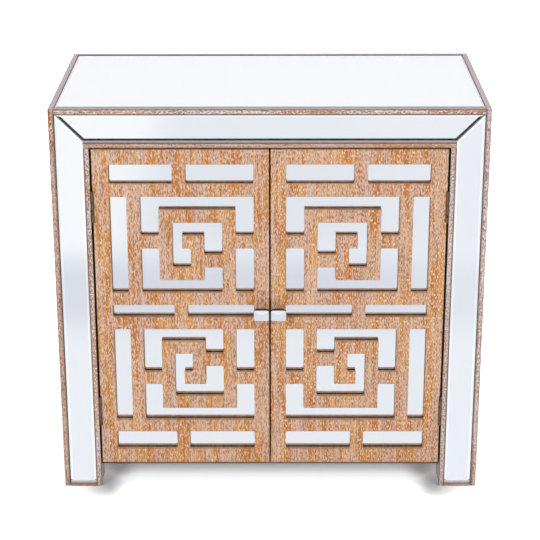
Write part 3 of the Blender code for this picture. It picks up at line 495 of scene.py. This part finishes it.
for pane, (body, axis, kind) in PANES.items():
    low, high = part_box(pane)
    number = "XYZ".index(axis)
    back = high.y if axis == "Y" else low.z
    outward = 1 if axis == "Y" else -1
    shape = bmesh.new()
    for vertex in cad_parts[pane].data.vertices:
        if abs(vertex.co[number] - back) < SILVER_SUNK:
            for depth in (-SILVER_SUNK, SILVER_COAT):
                corner = vertex.co.copy()
                corner[number] = back + outward * depth
                shape.verts.new(corner)
    bmesh.ops.remove_doubles(shape, verts=shape.verts, dist=SILVER_SUNK / 10)
    bmesh.ops.convex_hull(shape, input=shape.verts)
    bmesh.ops.dissolve_limit(shape, angle_limit=0.01, verts=shape.verts, edges=shape.edges)
    bmesh.ops.recalc_face_normals(shape, faces=shape.faces)
    middle = (low + high) / 2
    for vertex in shape.verts:
        for side in range(3):
            if side != number:
                short = SILVER_SHORT[axis][side]
                vertex.co[side] -= math.copysign(short, vertex.co[side] - middle[side])
    # Rings of painted highlight under each bevel, and of painted dark reflection on the top strip.
    if body == "carcass":
        fronts = [face for face in shape.faces if face.normal[number] * outward < -0.9]
        painted_dark_edge = pane == "top_strip_glass"
        width = PAINTED_REFLECTION_BEGINS if painted_dark_edge else BEVEL_WIDTH
        ring = bmesh.ops.inset_region(shape, faces=fronts, thickness=width, use_even_offset=True)
        for face in ring["faces"]:
            face.material_index = 1
        if painted_dark_edge:
            ring = bmesh.ops.inset_region(shape, faces=fronts, thickness=PAINTED_REFLECTION_WIDTH, use_even_offset=True)
            for face in ring["faces"]:
                upper_edge = face.calc_center_median().z > high.z - BEVEL_WIDTH - PAINTED_REFLECTION_WIDTH
                face.material_index = 1 if upper_edge else 2
    name = pane.replace("_glass", "_silvering")
    coat = bpy.data.objects.new(name, bpy.data.meshes.new(name))
    shape.to_mesh(coat.data)
    shape.free()
    bpy.context.scene.collection.objects.link(coat)
    for finished in (kind, "bevel_silver", "dark_silver"):
        coat.data.materials.append(silvers[finished])
    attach(coat, body)


# Each door's fretwork is one oak panel, sawn through in a Greek key and limed before it was glued over the
# mirror. The grain runs upright over bars and stiles alike. Its back, against the glass, is painted dark:
# painted shade that shows through the glass at the openings' edges.
WHITER_OAK = ((187, 112, 37), (209, 145, 73), (252, 231, 210), (228, 201, 187), (116, 76, 46))
PANELS = {
    "left_fretwork": (OAK, 0.52, 0.0, (880, 190)),
    "right_fretwork": (WHITER_OAK, 0.52, 21.0, (740, 170)),
}
for panel, (colours, wash, shift, dashes) in PANELS.items():
    finish(shaded_under_glass(limed_oak("limed_" + panel, "Z", colours, wash, shift, dashes), "Y"), panel)


# Steel wood screws with sunk heads hold the hinges, catches and strike plates. Each head is a flat cone
# with a cross cut into it, and it is made once and set down at every hole.
def plated(name, bright, dull, wear, roughness, scratch=0.12):
    """Bright plating, duller in soft clouds; wear is the share that has gone dull."""
    material, shader, mixture = principled(name)
    place = mixture.node("ShaderNodeTexCoord", output="Object")
    clouds = mixture.node("ShaderNodeTexNoise", {"Vector": place, "Scale": 160.0, "Detail": 4.0})
    dulling_and_painted_reflection = mixture.rise(clouds, 0.72 - 0.4 * wear, 0.86 - 0.4 * wear)
    mixture.feed(shader.inputs["Base Color"], mixture.mix(dulling_and_painted_reflection, bright, dull))
    rough = {"Value": dulling_and_painted_reflection, "To Min": roughness, "To Max": roughness + 0.22}
    mixture.feed(shader.inputs["Roughness"], mixture.node("ShaderNodeMapRange", rough))
    scratches = mixture.node("ShaderNodeTexNoise", {"Vector": place, "Scale": 1400.0, "Detail": 2.0})
    bump = {"Height": scratches, "Strength": scratch, "Distance": 0.0001}
    mixture.feed(shader.inputs["Normal"], mixture.node("ShaderNodeBump", bump))
    shader.inputs["Metallic"].default_value = 1.0
    return material


zinc = plated("zinc_plate", shade(196, 198, 202), shade(150, 150, 152), 0.4, 0.26)
brass = plated("aged_brass", shade(122, 102, 84), shade(78, 64, 53), 0.5, 0.34)


class Workshop:
    """A Geometry Nodes tree with named sizes, run over loose points to give one plain mesh."""

    def __init__(self, name, **sizes):
        self.tree = bpy.data.node_groups.new(name, "GeometryNodeTree")
        face = self.tree.interface
        face.new_socket("Geometry", in_out="INPUT", socket_type="NodeSocketGeometry")
        face.new_socket("Geometry", in_out="OUTPUT", socket_type="NodeSocketGeometry")
        for size, value in sizes.items():
            socket = face.new_socket(size, in_out="INPUT", socket_type="NodeSocketFloat")
            socket.default_value = value
        self.given = self.tree.nodes.new("NodeGroupInput").outputs
        self.end = self.tree.nodes.new("NodeGroupOutput")

    def node(self, kind, inputs=(), output=0, **settings):
        return Mixture(self.tree).node(kind, inputs, output, **settings)

    def close(self, geometry, material):
        """Ends the tree in plain mesh of one finish."""
        real = self.node("GeometryNodeRealizeInstances", {0: geometry})
        coated = self.node("GeometryNodeSetMaterial", {0: real, "Material": material})
        self.tree.links.new(coated, self.end.inputs[0])

    def make(self, name, places, body, slot, **sizes):
        """Runs the tree at each place, which is a point and the way that it faces."""
        mesh = bpy.data.meshes.new(name + "_points")
        mesh.from_pydata([point for point, _ in places], [], [])
        faces = mesh.attributes.new("faces", "FLOAT_VECTOR", "POINT")
        for number, (_, facing) in enumerate(places):
            faces.data[number].vector = facing
        mould = bpy.data.objects.new(name + "_points", mesh)
        bpy.context.scene.collection.objects.link(mould)
        run = mould.modifiers.new("run", "NODES")
        run.node_group = self.tree
        for item in self.tree.interface.items_tree:
            if item.in_out == "INPUT" and item.name in sizes:
                run[item.identifier] = sizes[item.name]
        shaped = mould.evaluated_get(bpy.context.evaluated_depsgraph_get())
        result = bpy.data.meshes.new_from_object(shaped)
        bpy.data.objects.remove(mould)
        result.validate()
        result.name = name
        piece = bpy.data.objects.new(name, result)
        bpy.context.scene.collection.objects.link(piece)
        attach(piece, body)


SCREW_SIZES = {
    "head_radius": 0.0018,
    "head_height": 0.0006,
    "slot_length": 0.0019,
    "slot_width": 0.0004,
    "slot_depth": 0.0003,
}
SCREW_FACETS = 20
SCREW_TAPER = 0.6
# The second bar of the cross cuts a little deeper, because floors at one level leave a torn mesh
CROSS_BARS = ((0, 2.0), (math.pi / 2, 2.2))
screws = Workshop("screw_heads", **SCREW_SIZES)
given = screws.given
cone = {
    "Vertices": SCREW_FACETS,
    "Radius Top": given["head_radius"],
    "Radius Bottom": screws.node(
        "ShaderNodeMath", {0: given["head_radius"], 1: SCREW_TAPER}, operation="MULTIPLY"
    ),
    "Depth": given["head_height"],
}
head = screws.node("GeometryNodeMeshCone", cone)
sunk = screws.node("ShaderNodeMath", {0: given["head_height"], 1: -1.0}, operation="MULTIPLY")
lowered = screws.node("ShaderNodeCombineXYZ", {2: sunk})
head = screws.node("GeometryNodeTransform", {0: head, "Translation": lowered})
for turn, depth in CROSS_BARS:
    depth = screws.node("ShaderNodeMath", {0: given["slot_depth"], 1: depth}, operation="MULTIPLY")
    size = {0: given["slot_length"], 1: given["slot_width"], 2: depth}
    bar = screws.node("GeometryNodeMeshCube", {"Size": screws.node("ShaderNodeCombineXYZ", size)})
    bar = screws.node("GeometryNodeTransform", {0: bar, "Rotation": (0, 0, turn)})
    cut = screws.tree.nodes.new("GeometryNodeMeshBoolean")
    cut.operation = "DIFFERENCE"
    screws.tree.links.new(head, cut.inputs["Mesh 1"])
    screws.tree.links.new(bar, cut.inputs["Mesh 2"])
    head = cut.outputs[0]
faces = screws.node("GeometryNodeInputNamedAttribute", {"Name": "faces"}, data_type="FLOAT_VECTOR")
turned = screws.node("FunctionNodeAlignRotationToVector", {"Vector": faces}, axis="Z")
spin = screws.node("FunctionNodeRandomValue", {2: 0.0, 3: math.pi / 2, "Seed": 5}, 1, data_type="FLOAT")
spun = screws.node("FunctionNodeAxisAngleToRotation", {"Angle": spin, "Axis": (0, 0, 1)})
turned = screws.node("FunctionNodeRotateRotation", {0: turned, 1: spun}, rotation_space="LOCAL")
setting = {"Points": given["Geometry"], "Instance": head, "Rotation": turned}
screws.close(screws.node("GeometryNodeInstanceOnPoints", setting), zinc)


# Four small butt hinges of aged brass carry the doors. Each leaf lies in the gap between frame and door,
# with three screws through it, and its knuckles show at the front round a pin.
HINGE_SCREWS = (-0.021, 0.0, 0.021)
HINGE_SCREW_STAGGER = 0.0022
SCREW_PROUD = 0.0001
for side, sign in (("left", -1), ("right", 1)):
    for level in ("upper", "lower"):
        hinge = f"{side}_{level}_hinge"
        finish(brass, f"{hinge}_frame_leaf", f"{hinge}_door_leaf", f"{hinge}_pin")
    for leaf, body, towards in (("frame", "carcass", -sign), ("door", f"{side}_door", sign)):
        places = []
        for level in ("upper", "lower"):
            low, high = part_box(f"{side}_{level}_hinge_{leaf}_leaf")
            pin_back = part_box(f"{side}_{level}_hinge_pin")[1].y
            middle = (low.z + high.z) / 2
            depth = (pin_back + high.y) / 2
            face = (high.x if towards > 0 else low.x) + towards * SCREW_PROUD
            for number, rise in enumerate(HINGE_SCREWS):
                inset = HINGE_SCREW_STAGGER if number == 1 else -HINGE_SCREW_STAGGER
                places.append(((face, depth + inset, middle + rise), (towards, 0, 0)))
        screws.make(f"{side}_{leaf}_leaf_screws", places, body, "zinc")


# Inside, a magnetic catch of brown plastic hangs under the top behind each door, and the door carries a zinc
# strike plate for it. Two screws hold each of them.
PLASTIC = shade(70, 52, 36)
PLASTIC_PALER = shade(82, 62, 45)
plastic, shader, mixture = principled("catch_plastic")
place = mixture.node("ShaderNodeTexCoord", output="Object")
pebble = mixture.node("ShaderNodeTexNoise", {"Vector": place, "Scale": 1800.0, "Detail": 2.0})
tint = mixture.rise(mixture.node("ShaderNodeTexNoise", {"Vector": place, "Scale": 90.0}), 0.35, 0.65)
mixture.feed(shader.inputs["Base Color"], mixture.mix(tint, PLASTIC, PLASTIC_PALER))
bump = {"Height": pebble, "Strength": 0.25, "Distance": 0.0001}
mixture.feed(shader.inputs["Normal"], mixture.node("ShaderNodeBump", bump))
shader.inputs["Roughness"].default_value = 0.48
STRIKE_SCREWS = (-0.0085, 0.0085)
STRIKE_SCREW_HEAD = 0.0016
CATCH_SCREWS = (-0.0075, 0.0075)
CATCH_SCREW_HEAD = 0.0017
CATCH_FLANGE = 0.0021
CATCH_SCREWS_DOWN = 0.008
TOWARDS_BACK = (0, 1, 0)
for side in ("left", "right"):
    finish(plastic, f"{side}_catch")
    finish(zinc, f"{side}_strike_plate")
    low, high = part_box(f"{side}_strike_plate")
    middle = (low + high) / 2
    face = high.y + SCREW_PROUD
    places = [((middle.x + step, face, middle.z), TOWARDS_BACK) for step in STRIKE_SCREWS]
    name = f"{side}_strike_plate_screws"
    screws.make(name, places, f"{side}_door", "zinc", head_radius=STRIKE_SCREW_HEAD)
    low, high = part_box(f"{side}_catch")
    middle = (low + high) / 2
    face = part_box("top_rail")[1].y + CATCH_FLANGE
    level = high.z - CATCH_SCREWS_DOWN
    places = [((middle.x + step, face, level), TOWARDS_BACK) for step in CATCH_SCREWS]
    screws.make(f"{side}_catch_screws", places, "carcass", "zinc", head_radius=CATCH_SCREW_HEAD)


# The shelf lies loose on four pins of zinc-plated steel. They push into the rows of holes in the sides, so
# the shelf can be set higher or lower.
for side in ("left", "right"):
    finish(zinc, f"{side}_front_shelf_pin", f"{side}_rear_shelf_pin")


# The back board is nailed into the sides, the top and the bottom with small flat-headed wire nails, about
# a hand's breadth apart.
NAIL_FACETS = 16
NAIL_SMALLEST = 0.9
NAIL_LARGEST = 1.08
nails = Workshop("nail_heads", head_radius=0.0021, head_height=0.0005)
given = nails.given
disc = {"Vertices": NAIL_FACETS, "Radius": given["head_radius"], "Depth": given["head_height"]}
head = nails.node("GeometryNodeMeshCylinder", disc)
faces = nails.node("GeometryNodeInputNamedAttribute", {"Name": "faces"}, data_type="FLOAT_VECTOR")
turned = nails.node("FunctionNodeAlignRotationToVector", {"Vector": faces}, axis="Z")
spread = {2: NAIL_SMALLEST, 3: NAIL_LARGEST, "Seed": 3}
size = nails.node("FunctionNodeRandomValue", spread, 1, data_type="FLOAT")
setting = {"Points": given["Geometry"], "Instance": head, "Rotation": turned, "Scale": size}
nails.close(nails.node("GeometryNodeInstanceOnPoints", setting), zinc)
NAIL_INSET = 0.006
NAIL_SPACING = 0.075
low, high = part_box("back_board")
edge_low = low + Vector((NAIL_INSET, 0, NAIL_INSET))
edge_high = high - Vector((NAIL_INSET, 0, NAIL_INSET))
across = round((edge_high.x - edge_low.x) / NAIL_SPACING)
upwards = round((edge_high.z - edge_low.z) / NAIL_SPACING)
spots = []
for number in range(across + 1):
    x = edge_low.x + (edge_high.x - edge_low.x) * number / across
    spots += [(x, edge_low.z), (x, edge_high.z)]
for number in range(1, upwards):
    z = edge_low.z + (edge_high.z - edge_low.z) * number / upwards
    spots += [(edge_low.x, z), (edge_high.x, z)]
places = [((x, high.y, z), TOWARDS_BACK) for x, z in spots]
nails.make("back_board_nails", places, "carcass", "zinc")


# Two small chrome knobs flare towards the front like square trumpets. A screw through each door holds them.
# The top of each neck is painted nearly black and matt, a painted reflection of the shaded door above it.
KNOB_RIM = 0.0019
KNOB_RIM_SOFTNESS = 0.0002
NECK_FACES = (0.15, 0.4)
NECK_PAINTED_REFLECTION = shade(44, 44, 50)
chrome = plated("polished_chrome", shade(230, 232, 236), shade(208, 210, 217), 0.2, 0.05, 0.03)
shader, mixture, colour = reopened(chrome)
place = mixture.node("ShaderNodeTexCoord", output="Object")
place = mixture.node("ShaderNodeSeparateXYZ", {0: place}, "Y")
normal = mixture.node("ShaderNodeTexCoord", output="Normal")
upwards = mixture.rise(mixture.node("ShaderNodeSeparateXYZ", {0: normal}, "Z"), *NECK_FACES)
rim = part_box("left_knob")[0].y + KNOB_RIM
neck = mixture.rise(place, rim - KNOB_RIM_SOFTNESS, rim + KNOB_RIM_SOFTNESS)
# Painted reflection: upward faces behind the rim turn dark and matt.
dulling_and_painted_reflection = mixture.sum("MULTIPLY", upwards, neck)
mixture.feed(shader.inputs["Base Color"], mixture.mix(dulling_and_painted_reflection, colour, NECK_PAINTED_REFLECTION))
mixture.feed(shader.inputs["Metallic"], mixture.sum("SUBTRACT", 1.0, dulling_and_painted_reflection))
shader.inputs["Specular IOR Level"].default_value = 0.05
finish(chrome, "left_knob", "right_knob")
finish(zinc, "left_knob_screw", "right_knob_screw")
